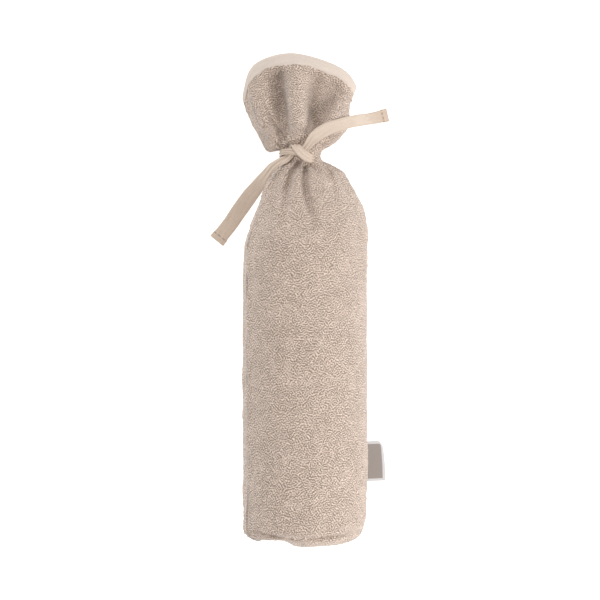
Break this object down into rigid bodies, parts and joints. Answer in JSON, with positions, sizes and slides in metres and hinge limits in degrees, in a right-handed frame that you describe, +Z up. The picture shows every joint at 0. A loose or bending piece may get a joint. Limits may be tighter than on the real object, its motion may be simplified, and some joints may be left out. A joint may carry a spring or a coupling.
{
  "type": "hot water bottle cover",
  "caption": "Terry cloth cover for a slim hot water bottle, lying filled on its back, with a bound open mouth and a gathered neck tied in a half knot by a flat tape.",
  "frame": {"origin": "on the flat underside, below the middle of the round body", "axes": "+Y from the foot seam to the mouth, +Z up from the surface it lies on, +X to the right of somebody who looks down on it, where the label is"},
  "size_m": [0.1333, 0.3539, 0.0843],
  "materials": {
    "terry": "matte looped pile",
    "knit": "matte smooth jersey",
    "label_weave": "matte fine weave"
  },
  "bodies": {
    "root": {"panel_front": "terry", "panel_back": "terry", "mouth_binding": "knit", "tie": "knit", "label": "label_weave"}
  },
  "joints": []
}
